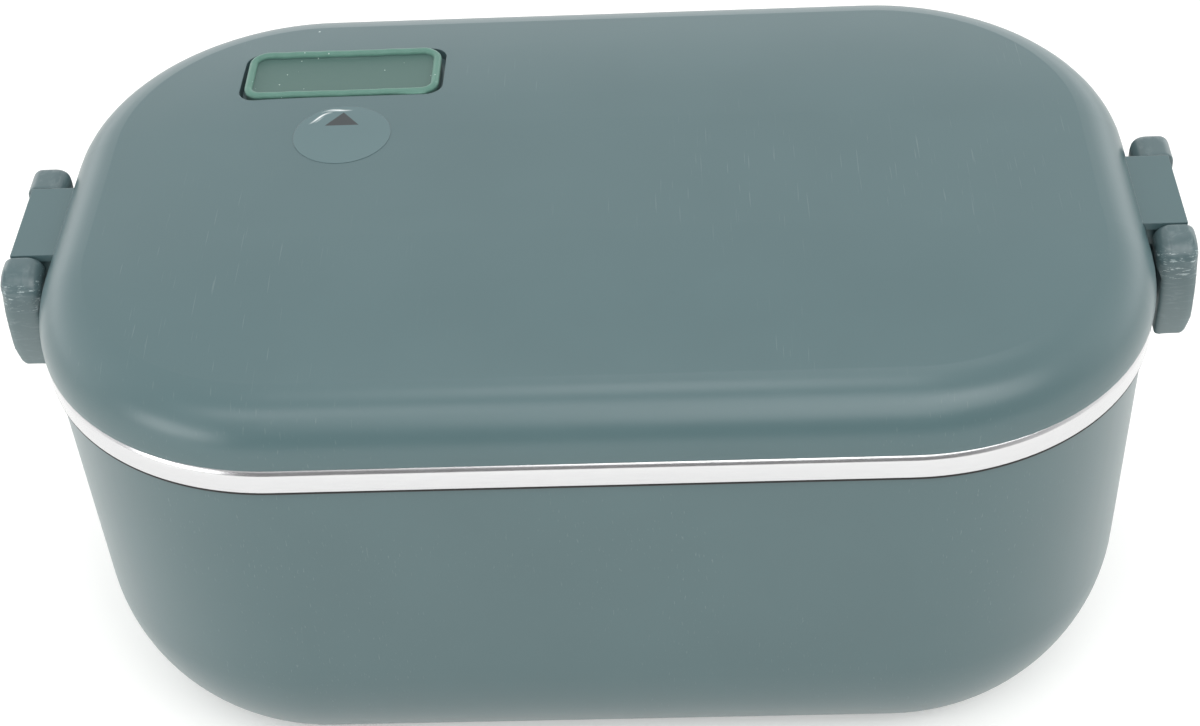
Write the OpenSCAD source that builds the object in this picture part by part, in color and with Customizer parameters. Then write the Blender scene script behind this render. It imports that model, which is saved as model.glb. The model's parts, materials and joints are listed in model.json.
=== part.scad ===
// Electric lunch box: plastic body with a lift-out steel liner, a latched lid and a heater in the base.
// Millimetres, +Z up. The origin is on the table under the middle of the box; +Y is the back.

/* [Box] */
// Length over the steel band
box_l = 236; // [220:1:260]
// Width over the steel band
box_w = 149.4; // [140:0.2:170]
// Corner radius of the steel band, seen from above
corner_r = 54.8; // [50:0.2:60]
// Height of the steel band's lower edge above the table
body_h = 91.2; // [84:0.1:110]
// Height of the steel band that shows between body and lid
band_h = 6.1; // [5.6:0.1:9]
// Thickness of the moulded walls of body and lid
wall = 2.2; // [1.8:0.1:2.6]

/* [Body shell] */
// How far the body stands in from the steel band
body_inset = 1; // [1:0.1:2.4]
// Inward lean of the body wall between its rim and the bottom rounding
draft = 1.3; // [0.1:0.1:1.4]
// Width of the bottom rounding
round_w = 19.5; // [18:0.5:22]
// Height of the bottom rounding
round_h = 33; // [30:0.5:38]
// Radius where the rounding runs into the flat bottom
round_r = 12; // [10:0.5:14]
// Width of the catch under each latch
catch_w = 22; // [16:1:24]
// Height of the catch
catch_h = 3; // [2.4:0.1:4]
// Depth of the hook's bite under the catch
bite = 1.3; // [0.8:0.1:1.5]

/* [Lid] */
// Height of the lid from its lower edge to its top
lid_h = 15.6; // [14.8:0.1:20]
// Height of the upright side below the edge rounding
lid_side = 0.8; // [0.4:0.1:3]
// Radius of the lid's edge rounding
lid_edge_r = 12.6; // [11:0.1:13]
// How far the lid's side stands out past the steel band
lid_proud = 0.2; // [0:0.1:0.8]
// Thickness of the inner lid panel
panel_t = 1.6; // [1.2:0.1:2]
// How far the panel dips into the liner's mouth
panel_dip = 0.6; // [0.4:0.1:5]
// Width of the sealing ring
seal_w = 4; // [3:0.1:4.4]
// Height of the sealing ring
seal_h = 3.5; // [3:0.1:4]

/* [Latches] */
// Width of a latch
latch_w = 41; // [36:0.5:44]
// Width of the lug on the lid that a latch turns on
lug_w = 24.2; // [20:0.2:28]
// Half the thickness of a latch's knuckle
knuckle_r = 4.4; // [4.2:0.1:4.8]
// Depth of the hinge axis below the lid's top
hinge_drop = 13.6; // [13:0.1:14.4]
// Length of a latch below its hinge axis
latch_drop = 19.9; // [19.5:0.1:23]
// How far a latch's outer face leans in at its lower end
latch_lean = 1.9; // [1:0.1:3]
// Radius of a hinge pin
pin_r = 1; // [0.8:0.1:1.3]

/* [Air valve] */
// Distance of the valve plug's middle from the left end of the box
valve_from_end = 60; // [50:1:90]
// Distance of the valve plug's middle from the back of the box
valve_from_back = 33; // [30:0.5:50]
// Length of the valve plug
valve_l = 45; // [36:0.5:50]
// Width of the valve plug
valve_w = 18.4; // [14:0.2:20]
// Thickness of the valve plug at its rim
valve_t = 3; // [2.6:0.1:3.4]
// Width of the plug's raised rim
valve_rim = 1.8; // [1.2:0.1:2.6]
// Gap between the plug and its recess
valve_gap = 0.9; // [0.5:0.1:1.5]
// Radius of the bore in the vent bush
vent_r = 4; // [3.6:0.1:4.6]
// Diameter of the clear film label
label_d = 22; // [18:0.2:26]

/* [Liner and heater] */
// Thickness of the steel liner
liner_t = 0.6; // [0.5:0.1:1]
// Radius of the liner's lower edge
liner_r = 12; // [8:0.5:16]
// Gap between the liner and the inner tub
liner_gap = 1.2; // [0.8:0.1:1.6]
// Thickness of the inner tub
tub_t = 1.8; // [1.4:0.1:2.2]
// Height of the tub's floor above the table
bay_h = 30; // [28:0.5:34]
// Thickness of the heating plate
plate_t = 3; // [2.4:0.1:4]
// Length of the heater block
heater_l = 110; // [80:1:130]
// Width of the heater block
heater_w = 26; // [20:0.5:30]
// Height of the heater block
heater_h = 7; // [6:0.1:8]

/* [Base] */
// Height of the rubber feet below the body
foot_h = 1.2; // [0.8:0.1:2]
// Diameter of a rubber foot
foot_d = 13; // [10:0.5:16]
// Margin between a foot and the base cover's edge
foot_in = 3; // [2:0.5:8]
// Width of the recess for the power inlet
pocket_w = 46; // [42:0.5:54]
// Radius of the indicator lens
lens_r = 2.5; // [2:0.1:3]

/* [Hidden] */
$fn = 96;

green = [0.33, 0.42, 0.43];
grey = [0.75, 0.77, 0.78];
steel = [0.82, 0.82, 0.80];
silicone = [0.30, 0.50, 0.44];
black = [0.12, 0.12, 0.13];
white = [0.88, 0.88, 0.86];
brass = [0.80, 0.66, 0.35];

seat = 0.3;       // gap between pieces that rest on each other and come apart
join = 0.02;      // gap in a fixed fit
run = 0.06;       // gap round a turning pin
blend = 0.003;    // how far a rounding stands past its neighbour, so that the two cross
far = 40;         // longer than any cut needs

// Heights, from the table up
band_top = body_h + band_h;
tub_flange_t = 1.6;
tub_top = band_top - liner_t - 0.2;
rim_z = tub_top - tub_flange_t;
ledge_z = foot_h + wall;
ledge_t = 1.8;
tub_floor = bay_h + tub_t;
plate_top = tub_floor + plate_t;
liner_z = plate_top + seat;
lid_z = band_top + seat;
lid_top = lid_z + lid_h;

// Plan offsets, outward from the steel band's outline
lean = body_inset + draft;
tub_e = -(lean + wall + 0.5);
liner_e = tub_e - tub_t - liner_gap;
cover_e = -(lean + round_w + 4);
screw_e = cover_e - 3;
plate_e = liner_e - liner_r - 2;
mouth_e = liner_e - liner_t - 1.2;

// Body section: a large arc runs down from the wall into a smaller one at the bottom
big_r = (round_w * round_w + round_h * round_h - 2 * round_h * round_r) / (2 * (round_w - round_r));

// Lid section: the crown is a large arc that meets the edge rounding
edge_x = corner_r + lid_proud - lid_edge_r;
crown_rise = lid_h - lid_side;
crown_r = round(10 * (edge_x * edge_x + crown_rise * crown_rise - lid_edge_r * lid_edge_r)
    / (2 * (crown_rise - lid_edge_r))) / 10;

// Inner lid panel: its rim stays clear of the edge rounding's inner face
panel_low = band_top - panel_dip;
seal_roof = lid_z + seal_h + 0.1;
panel_rise = seal_roof + panel_t - lid_z - lid_side;
panel_e = edge_x - corner_r - seat + sqrt(pow(lid_edge_r - wall, 2) - panel_rise * panel_rise);
lip_t = 0.8;
seal_e = panel_e - lip_t - 0.1 - seal_w;
lid_post = [box_l / 2 - corner_r - 4, box_w / 2 - corner_r - 6];

// Latch places
hinge_x = box_l / 2 + lid_proud + 0.9 + knuckle_r;
hinge_z = lid_top - hinge_drop;
lug_top = hinge_z + knuckle_r;
lug_reach = 0.65 * knuckle_r;
lug_clear = 1.2;
hook_tip = box_l / 2 + 0.6;
catch_out = hook_tip + bite;
latch_in = catch_out + 0.4;
hook_z = hinge_z - latch_drop + 1;
hook_t = 2.6;
catch_z = hook_z + hook_t + 0.4;
pin_l = lug_w + 11;

// Air valve places
valve_x = -(box_l / 2 - valve_from_end);
valve_y = box_w / 2 - valve_from_back;
valve_top = lid_top - 0.1;
valve_z = valve_top - valve_t;
recess_z = valve_z - seat;
recess_r = 4;
hinge_line = valve_x - valve_l / 2 + 8;
vent_x = valve_x + valve_l / 2 - 9;
bush_r = vent_r + 2;
barb_x = valve_x - valve_l / 2 + 4;
barb_r = 1.6;
label_y = valve_y - valve_w / 2 - 5 - label_d / 2;
label_x = valve_x + 2.2;
label_t = 0.15;

// Base and inlet places
foot_r = corner_r + cover_e - foot_in - foot_d / 2;
foot_x = box_l / 2 - corner_r + foot_r * cos(45);
foot_y = box_w / 2 - corner_r + foot_r * sin(45);
foot_sink = 1;
pocket_h = 19;
pocket_z = foot_h + 15.6;
pocket_face = box_w / 2 - lean - big_r + 35.5;
inlet_x = -7.5;
lens_x = 14;
inlet_w = 18;
inlet_t = 10.4;
inlet_d = 18;
neck_r = 2.9;
pin_gap = 8.6;
opening_l = heater_l + 16;
opening_w = heater_w + 45;
plate_screw = [box_l / 2 + plate_e - 27, box_w / 2 + plate_e - 11];
cover_screws = [for (s = [-1, 1]) [s * (box_l / 2 + screw_e), 0],
    for (sx = [-1, 1], sy = [-1, 1]) [sx * 40, sy * (box_w / 2 + screw_e)]];
plate_under = tub_floor;
clamp_x = heater_l * 0.32;
clamp_y = heater_w / 2 + 5;
thermostat_r = 8;
thermostat_y = -(heater_w / 2 + thermostat_r + 3);
fuse_r = 2;
fuse_y = heater_w / 2 + fuse_r + 4;
lead_r = 1.1;
fuse_l = 11;
fuse_reach = 15;
screw_r = 1.25;
screw_head_r = 2.8;
cover_bite = 9;

// Carries a half section round a rounded rectangle. The section's x starts at the corner's centre.
module around(l = box_l, w = box_w, r = corner_r) {
    for (k = [0:3]) {
        ahead = (k % 2 == 0 ? l : w) / 2 - r;
        across = (k % 2 == 0 ? w : l) / 2 - r;
        rotate([0, 0, 90 * k]) translate([ahead, across, 0]) {
            rotate_extrude(angle = 90) children();
            rotate([90, 0, 0]) linear_extrude(2 * across) children();
        }
    }
}

// Fills the middle that a half section starting at x = 0 leaves open
module middle(z, h, l = box_l, w = box_w, r = corner_r) {
    translate([r - l / 2, r - w / 2, z]) cube([l - 2 * r, w - 2 * r, h]);
}

// Upright block with rounded corners, its bottom at z = 0
module rounded_block(l, w, r, h) {
    around(l, w, r) square([r, h]);
    middle(0, h, l, w, r);
}

// Filled half section with its lower outer corner rounded
module dish_section(x, z, top, r) {
    intersection() {
        translate([0, z]) square([x, top - z]);
        union() {
            translate([x - r, z + r]) circle(r + blend);
            translate([0, z]) square([x - r, top - z]);
            translate([0, z + r]) square([x + 1, top - z - r]);
        }
    }
}

// Filled half section of the body, t inside its outer face, up to the height top
module body_section(t, top) {
    x_low = corner_r - lean;
    z_low = foot_h + round_h;
    slope = draft / (rim_z - z_low);
    big_c = [x_low - big_r, z_low];
    small_c = [x_low - round_w, foot_h + round_r];
    turn = atan2(big_c[1] - small_c[1], small_c[0] - big_c[0]);
    reach = 2 * big_r;
    translate([0, foot_h + t]) square([small_c[0], top - foot_h - t]);
    translate(small_c) circle(round_r - t + blend);
    intersection() {
        translate(big_c) circle(big_r - t + 3 * blend);
        translate(big_c) polygon([[0, 0], [reach * cos(turn), -reach * sin(turn)],
            [reach, 0], [reach * cos(5), reach * sin(5)]]);
    }
    translate([0, z_low]) polygon([[0, -0.2], [x_low - t - 0.2 * slope, -0.2],
        [x_low - t + slope * (top - z_low), top - z_low], [0, top - z_low]]);
}

// Filled half section of the lid, t inside its outer face, from the height low
module lid_section(t, low) {
    edge_z = lid_z + lid_side;
    meet_x = edge_x + lid_edge_r * edge_x / (crown_r - lid_edge_r);
    intersection() {
        translate([0, low]) square([corner_r + lid_proud - t, lid_top - low]);
        translate([0, lid_top - crown_r]) circle(crown_r - t, $fn = 720);
        union() {
            translate([edge_x, edge_z]) circle(lid_edge_r - t + blend);
            translate([0, low]) square([meet_x, lid_top - low]);
            translate([0, low]) square([corner_r + lid_proud + 1, edge_z - low]);
        }
    }
}

// Round tube through a list of points
function unit(v) = v / norm(v);
function side_of(d) = unit(cross(d, abs(d[2]) < 0.8 ? [0, 0, 1] : [0, 1, 0]));
function heading(p, i) = unit((i < len(p) - 1 ? p[i + 1] : p[i]) - (i > 0 ? p[i - 1] : p[i]));
function ring(p, i, r, n) = let (d = heading(p, i), a = side_of(d), b = cross(d, a))
    [for (k = [0:n - 1]) p[i] + r * (cos(360 * k / n) * a + sin(360 * k / n) * b)];
module tube(p, r, n = 8) {
    last = (len(p) - 1) * n;
    polyhedron(points = [for (i = [0:len(p) - 1]) each ring(p, i, r, n)],
        faces = concat([[for (k = [0:n - 1]) k]],
            [for (i = [0:len(p) - 2], k = [0:n - 1]) let (a = i * n + k, b = i * n + (k + 1) % n)
                each [[a, a + n, b + n], [a, b + n, b]]],
            [[for (k = [n - 1:-1:0]) last + k]]));
}

// Pan-head screw with its head's underside at the origin, pointing up
module screw(r, head_r, head_h, l) {
    difference() {
        union() {
            cylinder(r = r, h = l);
            translate([0, 0, -head_h]) cylinder(r1 = head_r * 0.8, r2 = head_r, h = head_h);
        }
        for (a = [0, 90]) rotate([0, 0, a])
            translate([-head_r * 0.55, -0.35, -head_h - 1]) cube([head_r * 1.1, 0.7, 1.7]);
    }
}

// ---- Body ----

// Block that holds the inlet recess, cut to the body's outer face
module pocket_block() {
    translate([-pocket_w / 2 - wall, 0, 0]) rotate([90, 0, 90]) linear_extrude(pocket_w + 2 * wall)
        intersection() {
            translate([box_w / 2 - corner_r, 0]) body_section(0, rim_z);
            translate([pocket_face - wall, pocket_z - pocket_h / 2 - wall])
                square([far, pocket_h + 2 * wall]);
        }
}

module pocket_void() {
    translate([0, pocket_face, pocket_z]) rotate([-90, 0, 0])
        rounded_block(pocket_w, pocket_h, 3, far);
}

// Catch that a latch hooks under, with a sloped top that leads the hook over it
module catch() {
    x0 = box_l / 2 - body_inset - wall / 2;
    translate([0, catch_w / 2, 0]) rotate([90, 0, 0]) linear_extrude(catch_w)
        polygon([[x0, catch_z], [catch_out, catch_z], [catch_out, catch_z + catch_h - 1.4],
            [box_l / 2 - body_inset + 0.3, catch_z + catch_h], [x0, catch_z + catch_h]]);
}

module outer_shell() {
    color(green) difference() {
        union() {
            around() difference() {
                body_section(0, rim_z);
                body_section(wall, rim_z + 1);
                square([corner_r + cover_e, ledge_z + 1]);
            }
            around() translate([corner_r + cover_e - 6, ledge_z]) square([9, ledge_t]);
            pocket_block();
            for (m = [0, 1]) mirror([m, 0, 0]) catch();
        }
        pocket_void();
        translate([inlet_x, pocket_face, pocket_z]) rotate([90, 0, 0]) translate([0, 0, -1])
            rounded_block(inlet_w + 2 * join, inlet_t + 2 * join, neck_r + join, wall + 2);
        translate([lens_x, pocket_face + 1, pocket_z]) rotate([90, 0, 0])
            cylinder(r = lens_r + join, h = wall + 2);
        for (p = cover_screws) translate([p[0], p[1], ledge_z - 1])
            cylinder(r = screw_r + 0.45, h = ledge_t + 2);
    }
}

// Inner tub: lines the body, carries the heating plate and stands on six posts
module inner_tub() {
    x = corner_r + tub_e;
    color(white) difference() {
        union() {
            around() difference() {
                dish_section(x, bay_h, tub_top, liner_r + 1);
                dish_section(x - tub_t, tub_floor, tub_top + 1, liner_r + 1 - tub_t);
            }
            around() translate([x - 1, rim_z]) square([-tub_e - lean + draft - 0.2 + 1, tub_flange_t]);
            middle(bay_h, tub_t);
            for (p = cover_screws) translate([p[0], p[1], ledge_z + ledge_t])
                cylinder(r = 3.2, h = bay_h - ledge_z - ledge_t + 0.5);
        }
        translate([0, 0, bay_h - 1]) rounded_block(opening_l, opening_w, 12, tub_t + 2);
        for (p = cover_screws) translate([p[0], p[1], 0])
            cylinder(r = screw_r, h = ledge_z + ledge_t + cover_bite + 2);
        for (sx = [-1, 1], sy = [-1, 1]) translate([sx * plate_screw[0], sy * plate_screw[1], bay_h - 1])
            cylinder(r = screw_r + 0.45, h = tub_t + 2);
    }
}

module base_cover() {
    r = corner_r + cover_e - seat;
    l = box_l + 2 * (cover_e - seat);
    w = box_w + 2 * (cover_e - seat);
    color(black) difference() {
        translate([0, 0, foot_h]) rounded_block(l, w, r, wall);
        for (p = cover_screws) translate([p[0], p[1], foot_h - 1]) {
            cylinder(r = screw_r + 0.45, h = far);
            cylinder(r = screw_head_r + 0.3, h = 1 + wall / 2);
        }
        for (sx = [-1, 1], sy = [-1, 1]) translate([sx * foot_x, sy * foot_y, 0])
            cylinder(d = foot_d + 2 * join, h = foot_h + foot_sink);
        for (i = [-3:3]) translate([i * 7, 0, foot_h - 1]) rounded_block(2.4, 26, 1.1, wall + 2);
    }
}

module base_screws() {
    color(grey) for (p = cover_screws) translate([p[0], p[1], foot_h + wall / 2])
        screw(screw_r - join, screw_head_r, 1, ledge_z + ledge_t + cover_bite - foot_h - wall / 2);
}

module rubber_feet() {
    color(black) for (sx = [-1, 1], sy = [-1, 1]) translate([sx * foot_x, sy * foot_y, 0])
        rotate_extrude() polygon([[0, 0], [foot_d / 2 - 1.2, 0], [foot_d / 2 - 0.5, foot_h * 0.6],
            [foot_d / 2, foot_h], [foot_d / 2, foot_h + foot_sink], [0, foot_h + foot_sink]]);
}

// ---- Heater ----

module heating_plate() {
    color(steel) translate([0, 0, plate_under]) difference() {
        rounded_block(box_l + 2 * plate_e, box_w + 2 * plate_e, corner_r + plate_e, plate_t);
        for (sx = [-1, 1], sy = [-1, 1]) translate([sx * plate_screw[0], sy * plate_screw[1], -1])
            cylinder(r = screw_r, h = plate_t);
        for (p = heater_screw_places()) translate([p[0], p[1], -1]) cylinder(r = screw_r, h = plate_t);
    }
}

function heater_screw_places() = concat(
    [for (sx = [-1, 1], sy = [-1, 1]) [sx * clamp_x, sy * clamp_y]],
    [for (s = [-1, 1]) [s * (thermostat_r + 3.5), thermostat_y]],
    [[0, fuse_y + fuse_r + 4]]);

module plate_screws() {
    color(grey) for (sx = [-1, 1], sy = [-1, 1]) translate([sx * plate_screw[0], sy * plate_screw[1], bay_h])
        screw(screw_r - join, screw_head_r, 1.6, tub_t + plate_t - 1.4);
}

module clamp_screws() {
    color(grey) for (p = heater_screw_places()) translate([p[0], p[1], plate_under - 0.8])
        screw(screw_r - join, screw_head_r - 0.4, 1.4, 0.8 + plate_t - 1.4);
}

// Ceramic heater in an aluminium case, with shallow grooves along its lower face
module ptc_heater() {
    color(steel) translate([0, 0, plate_under - heater_h]) difference() {
        rounded_block(heater_l, heater_w, 1.5, heater_h);
        for (i = [-3:3]) translate([-heater_l, i * heater_w / 8 - 0.5, -1])
            cube([2 * heater_l, 1, 1.6]);
    }
}

// Spring straps that press the heater up against the plate
module heater_clamps() {
    t = 0.8;
    out = clamp_y + 3.5;
    inner = heater_w / 2 + 0.2;
    low = plate_under - heater_h;
    color(grey) for (s = [-1, 1]) translate([s * clamp_x + 6, 0, 0]) rotate([0, -90, 0]) difference() {
        linear_extrude(12) polygon([[low - t, -inner - t], [low - t, inner + t],
            [plate_under - t, inner + t], [plate_under - t, out], [plate_under, out],
            [plate_under, inner], [low, inner], [low, -inner], [plate_under, -inner],
            [plate_under, -out], [plate_under - t, -out], [plate_under - t, -inner - t]]);
        for (y = [-1, 1]) translate([plate_under - 2, y * clamp_y, 6]) rotate([0, 90, 0])
            cylinder(r = screw_r + join, h = 4);
    }
}

// Bimetal thermostat with two fixing ears and two blade terminals
module thermostat() {
    color(black) translate([0, thermostat_y, plate_under]) {
        difference() {
            union() {
                translate([0, 0, -2.4]) cylinder(r = thermostat_r, h = 2.4);
                translate([0, 0, -9]) cylinder(r = thermostat_r - 1, h = 7);
                translate([0, 0, -0.8]) rounded_block(2 * thermostat_r + 15, 9, 4.4, 0.8);
            }
            for (s = [-1, 1]) translate([s * (thermostat_r + 3.5), 0, -2]) cylinder(r = screw_r + join, h = 4);
        }
        for (s = [-1, 1]) translate([s * 4 - 0.4, -3, -15]) cube([0.8, 6, 7]);
    }
}

module thermal_fuse() {
    color(white) translate([0, fuse_y, plate_under - fuse_r]) rotate([0, 90, 0]) {
        cylinder(r = fuse_r, h = fuse_l, center = true);
        cylinder(r = 0.5, h = 2 * fuse_reach, center = true);
    }
}

// Saddle that holds the fuse against the plate
module fuse_clip() {
    t = 0.8;
    r = fuse_r + join;
    color(grey) translate([2.5, fuse_y, plate_under]) rotate([90, 0, -90]) difference() {
        union() {
            translate([0, -fuse_r]) cylinder(r = r + t, h = 5);
            translate([-r - t, -fuse_r, 0]) cube([2 * (r + t), fuse_r, 5]);
            translate([-fuse_r - 7, -t, 0]) cube([fuse_r + 7, t, 5]);
        }
        translate([0, -fuse_r, -1]) cylinder(r = r, h = 7);
        translate([-r, -fuse_r, -1]) cube([2 * r, fuse_r + 1, 7]);
        translate([-fuse_r - 4, 0, 2.5]) rotate([90, 0, 0]) cylinder(r = screw_r + join, h = 3, center = true);
    }
}

// ---- Power inlet ----

// Two-pin inlet: a flange on the recess wall and a socket behind it
module power_inlet() {
    color(black) translate([inlet_x, pocket_face, pocket_z]) rotate([90, 0, 0]) difference() {
        union() {
            translate([0, 0, -1.6]) rounded_block(inlet_w + 5, inlet_t + 5, 3.5, 1.6);
            translate([0, 0, -0.1]) rounded_block(inlet_w, inlet_t, neck_r, inlet_d + 0.1);
        }
        translate([0, 0, -3]) rounded_block(inlet_w - 3.4, inlet_t - 3.4, 2.4, 3 + 12);
        for (s = [-1, 1]) translate([s * pin_gap / 2, 0, 10]) cylinder(r = 1.18 + join, h = far);
    }
}

module inlet_pins() {
    color(brass) for (s = [-1, 1]) translate([inlet_x + s * pin_gap / 2, pocket_face - 2.5, pocket_z])
        rotate([90, 0, 0]) {
            cylinder(r = 1.18, h = inlet_d - 2);
            translate([-0.4, -2.4, inlet_d - 2.5]) cube([0.8, 4.8, 8.5]);
        }
}

module indicator_lens() {
    color("orange") translate([lens_x, pocket_face, pocket_z]) rotate([90, 0, 0]) {
        translate([0, 0, -0.8]) cylinder(r = lens_r, h = wall + 0.8 + 1);
        translate([0, 0, wall]) cylinder(r = lens_r + 1, h = 1);
    }
}

module indicator_lamp() {
    color(white) translate([lens_x, pocket_face - wall - 1, pocket_z]) rotate([90, 0, 0]) {
        cylinder(r = lens_r - 0.1, h = 6);
        translate([0, 0, 5]) cylinder(r = lens_r + 0.5, h = 1.4);
        for (s = [-1, 1]) translate([s * 1.27, 0, 5]) cylinder(r = 0.3, h = 8);
    }
}

// Insulated leads: inlet to thermostat, inlet to fuse, thermostat and fuse to the heater
module wire_leads() {
    back = pocket_face - inlet_d - 9;
    mid = plate_under - heater_h / 2;
    low = plate_under - heater_h - 9;
    tail = plate_under - 15 - lead_r;
    end = heater_l / 2;
    color("firebrick") {
        tube([[inlet_x + pin_gap / 2, back, pocket_z], [inlet_x + pin_gap / 2, back - 6, pocket_z - 1],
            [6, 14, low - 3], [7, -14, low - 3], [4, thermostat_y + 3, tail - 1],
            [4, thermostat_y - 2, tail]], lead_r);
        tube([[inlet_x - pin_gap / 2, back, pocket_z], [inlet_x - pin_gap / 2 - 2, back - 5, pocket_z],
            [-24, fuse_y + 4, plate_under - 8], [-21, fuse_y, plate_under - fuse_r - 1],
            [-fuse_reach - 0.5, fuse_y, plate_under - fuse_r]], lead_r);
        tube([[fuse_reach + 0.5, fuse_y, plate_under - fuse_r], [21, fuse_y, plate_under - fuse_r - 2],
            [26, fuse_y + 6, mid - 2], [46, fuse_y + 5, mid - 1], [end + 6, 12, mid], [end + 4, 4, mid],
            [end + 0.3, 4, mid]], lead_r);
        tube([[-4, thermostat_y + 2, tail], [-4, thermostat_y - 4, tail - 1], [8, thermostat_y - 10, low],
            [45, thermostat_y - 3, low + 3], [end + 6, -12, mid], [end + 4, -4, mid],
            [end + 0.3, -4, mid]], lead_r);
    }
}

// ---- Liner ----

// Pressed steel pan: its flange lies on the tub and turns down as the band that shows
module steel_liner() {
    x = corner_r + liner_e;
    color(steel) {
        around() {
            difference() {
                dish_section(x, liner_z, band_top, liner_r);
                dish_section(x - liner_t, liner_z + liner_t, band_top + 1, liner_r - liner_t);
            }
            translate([x - liner_t / 2, band_top - liner_t]) square([-liner_e, liner_t]);
            difference() {
                translate([corner_r - 2, body_h]) square([2, band_h]);
                translate([corner_r - 3, body_h - 1]) square([3 - liner_t, band_h + 1 - liner_t]);
                difference() {
                    translate([corner_r - 1.4, band_top - 1.4]) square(2);
                    translate([corner_r - 1.4, band_top - 1.4]) circle(1.4 + blend / 2);
                }
            }
        }
        middle(liner_z, liner_t);
    }
}

// ---- Lid ----

// Lug that a latch turns on: a flat plate over three cheeks that hold the pin
module lug() {
    plate_t = 1.8;
    root_x = box_l / 2 + lid_proud - wall / 2 - hinge_x;
    translate([hinge_x, 0, hinge_z]) {
        translate([root_x - 1.8, -lug_w / 2, knuckle_r - plate_t])
            cube([lug_reach - root_x + 1.8, lug_w, plate_t]);
        for (y = [-lug_w / 2 + 0.8, -1.5, lug_w / 2 - 3.8]) translate([0, y + 3, 0]) rotate([90, 0, 0])
            linear_extrude(3) union() {
                circle(knuckle_r - 1.6);
                polygon([[root_x, knuckle_r - 1], [lug_reach - 0.4, knuckle_r - 1], [knuckle_r - 1.9, 0],
                    [0, -2.2], [root_x, lid_z - hinge_z + 0.2]]);
            }
    }
}

module valve_recess(t, z, top) {
    translate([valve_x, valve_y, z])
        rounded_block(valve_l + 2 * (valve_gap + t), valve_w + 2 * (valve_gap + t), recess_r + t, top - z);
}

module lid_shell() {
    color(green) difference() {
        union() {
            around() difference() {
                lid_section(0, lid_z);
                lid_section(wall, lid_z - 1);
            }
            middle(lid_top - wall, wall);
            valve_recess(wall, recess_z - wall, lid_top - wall + 0.3);
            for (m = [0, 1]) mirror([m, 0, 0]) lug();
            for (sx = [-1, 1], sy = [-1, 1])
                translate([sx * lid_post[0], sy * lid_post[1], panel_low + panel_t])
                    cylinder(r = 2.6, h = lid_top - wall / 2 - panel_low - panel_t);
        }
        valve_recess(0, recess_z, lid_top + 1);
        translate([vent_x, valve_y, recess_z - wall - 1]) cylinder(r = bush_r + join, h = wall + 2);
        translate([barb_x, valve_y, recess_z - wall - 1]) cylinder(r = barb_r + 0.1, h = wall + 2);
        for (m = [0, 1]) mirror([m, 0, 0]) translate([hinge_x, 0, hinge_z]) rotate([90, 0, 0])
            cylinder(r = pin_r + join, h = lug_w + 2, center = true);
    }
}

// Inner lid panel: a shallow dish that dips into the liner, with a channel for the seal
module lid_panel() {
    x = corner_r + mouth_e;
    land = corner_r + seal_e - 0.1;
    edge = corner_r + panel_e;
    top = seal_roof + panel_t;
    color(grey) difference() {
        union() {
            around() polygon([[0, panel_low], [x, panel_low], [x, lid_z + 0.7], [land, lid_z + 0.7],
                [land, seal_roof], [edge - lip_t, seal_roof], [edge - lip_t, lid_z + 0.7],
                [edge, lid_z + 0.7], [edge, top], [x - panel_t, top],
                [x - panel_t, panel_low + panel_t], [0, panel_low + panel_t]]);
            middle(panel_low, panel_t);
        }
        translate([vent_x, valve_y, panel_low - 1]) cylinder(r = bush_r + join, h = panel_t + 2);
    }
}

// Bush that leads steam from the panel up to the valve
module vent_bush() {
    color(silicone) translate([vent_x, valve_y, panel_low]) difference() {
        cylinder(r = bush_r, h = recess_z - panel_low);
        translate([0, 0, -1]) cylinder(r = vent_r, h = far);
    }
}

// Sealing ring: a solid bead with two lips that press on the liner's flange
module lid_seal() {
    color(white) around() translate([corner_r + seal_e, lid_z])
        polygon([[0, 0], [0.8, 0], [1.2, seal_h * 0.4], [seal_w - 1.2, seal_h * 0.4],
            [seal_w - 0.8, 0], [seal_w, 0], [seal_w, seal_h], [0, seal_h]]);
}

// ---- Air valve ----

// Silicone pad with a raised rim, its bottom at z = 0
module valve_pad() {
    difference() {
        rounded_block(valve_l, valve_w, recess_r - 0.6, valve_t);
        translate([0, 0, valve_t - 0.9])
            rounded_block(valve_l - 2 * valve_rim, valve_w - 2 * valve_rim, recess_r - 0.6 - valve_rim / 2, 2);
    }
}

module half_pad(x0, x1) {
    intersection() {
        translate([valve_x, valve_y, valve_z]) valve_pad();
        translate([x0, valve_y - far, valve_z - 1]) cube([x1 - x0, 2 * far, far]);
    }
}

// The end of the pad that stays put, with the barb that holds it in the lid
module valve_anchor() {
    color(silicone) {
        half_pad(valve_x - far, hinge_line - 0.15);
        translate([barb_x, valve_y, recess_z - wall - 0.1]) cylinder(r = barb_r, h = seat + wall + 0.6);
        translate([barb_x, valve_y, recess_z - wall - 2.3])
            cylinder(r1 = barb_r - 0.5, r2 = barb_r + 1, h = 2.2);
    }
}

// The end that lifts, with the stopper that closes the vent
module valve_plug() {
    color(silicone) {
        half_pad(hinge_line + 0.15, valve_x + far);
        translate([vent_x, valve_y, valve_z - 4]) cylinder(r1 = vent_r - 1.2, r2 = vent_r - 0.4, h = 4.5);
    }
}

module label_film() {
    color(white) translate([label_x, label_y, lid_top]) cylinder(d = label_d, h = label_t);
}

// ---- Latches ----

module hinge_pin() {
    color(steel) translate([hinge_x, 0, hinge_z]) rotate([90, 0, 0])
        cylinder(r = pin_r, h = pin_l, center = true);
}

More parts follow.
